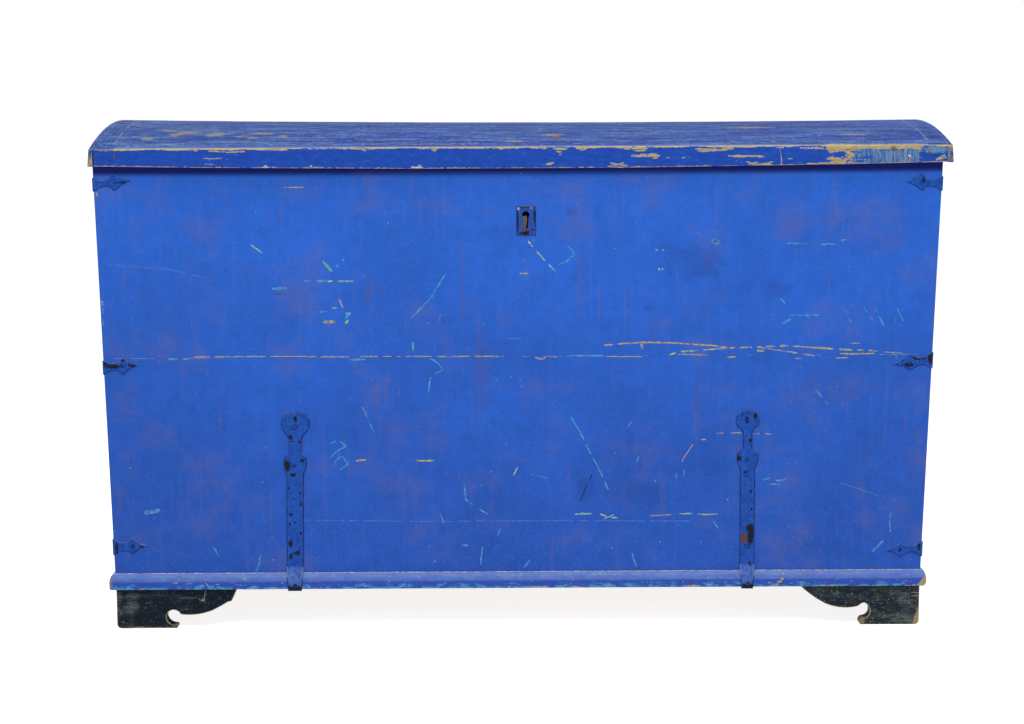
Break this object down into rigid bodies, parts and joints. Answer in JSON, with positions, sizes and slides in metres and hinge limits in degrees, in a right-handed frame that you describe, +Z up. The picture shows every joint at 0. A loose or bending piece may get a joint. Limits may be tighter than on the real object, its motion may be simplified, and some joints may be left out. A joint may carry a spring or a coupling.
{
  "type": "blanket chest",
  "caption": "Blue-painted dovetailed pine chest with splayed ends, a shallow domed hinged lid, plinth moulding, cusped bracket feet, forged straps and corner irons, lock and a lidded till",
  "frame": {"origin": "on the floor under the middle of the chest's extents", "axes": "+X along the length to the right as seen from the front, -Y towards the front, +Z up"},
  "size_m": [1.304, 0.6455, 0.7752],
  "materials": {
    "case_paint": "worn blue paint over pine",
    "lid_paint": "blue paint worn thin and scuffed on top",
    "foot_paint": "blue-black paint, worn at the edges",
    "bare_wood": "unpainted pine",
    "painted_iron": "painted forged iron with rust spots",
    "bare_iron": "dark forged iron",
    "nail_iron": "dark forged nail heads"
  },
  "bodies": {
    "case": {"back_board_lower": "case_paint", "back_board_upper": "case_paint", "bottom_board_front": "bare_wood", "bottom_board_middle": "bare_wood", "bottom_board_rear": "bare_wood", "corner_iron_left_bottom": "painted_iron", "corner_iron_left_middle": "painted_iron", "corner_iron_left_top": "painted_iron", "corner_iron_nails": "nail_iron", "corner_iron_right_bottom": "painted_iron", "corner_iron_right_middle": "painted_iron", "corner_iron_right_top": "painted_iron", "end_board_left_lower": "case_paint", "end_board_left_upper": "case_paint", "end_board_right_lower": "case_paint", "end_board_right_upper": "case_paint", "escutcheon_nails": "nail_iron", "escutcheon_plate": "painted_iron", "foot_glue_blocks": "bare_wood", "foot_left_end_bracket_front": "foot_paint", "foot_left_end_bracket_rear": "foot_paint", "foot_left_front_bracket": "foot_paint", "foot_left_rear_board": "foot_paint", "foot_right_end_bracket_front": "foot_paint", "foot_right_end_bracket_rear": "foot_paint", "foot_right_front_bracket": "foot_paint", "foot_right_rear_board": "foot_paint", "front_board_lower": "case_paint", "front_board_upper": "case_paint", "hinge_case_nails": "nail_iron", "hinge_left_case_leaf": "bare_iron", "hinge_left_pin": "bare_iron", "hinge_right_case_leaf": "bare_iron", "hinge_right_pin": "bare_iron", "lock_case": "bare_iron", "plinth_moulding_front": "case_paint", "plinth_moulding_left": "case_paint", "plinth_moulding_right": "case_paint", "strap_iron_left": "painted_iron", "strap_iron_right": "painted_iron", "strap_nails": "nail_iron", "till_floor": "bare_wood", "till_wall": "bare_wood"},
    "lid": {"hinge_left_lid_leaf": "bare_iron", "hinge_lid_nails": "nail_iron", "hinge_right_lid_leaf": "bare_iron", "lid_board_front": "lid_paint", "lid_board_middle": "lid_paint", "lid_board_rear": "lid_paint", "lid_clamp_left": "lid_paint", "lid_clamp_right": "lid_paint", "lid_end_moulding_left": "lid_paint", "lid_end_moulding_right": "lid_paint", "lid_front_rail": "lid_paint", "lid_staple": "bare_iron", "lid_staple_nails": "nail_iron"},
    "bolt": {"lock_bolt": "bare_iron"},
    "till_cover": {"till_lid": "bare_wood"}
  },
  "joints": [
    {"name": "lid_hinge", "type": "hinge", "parent": "case", "child": "lid", "pos_m": [0, 0.31775, 0.7125], "axis": [-1, 0, 0], "range_deg": [0, 100]},
    {"name": "bolt_slide", "type": "slide", "parent": "case", "child": "bolt", "axis": [1, 0, 0], "range_m": [0, 0.012]},
    {"name": "till_hinge", "type": "hinge", "parent": "case", "child": "till_cover", "pos_m": [-0.61138, 0, 0.5856], "axis": [0, -1, 0], "range_deg": [0, 88]}
  ]
}
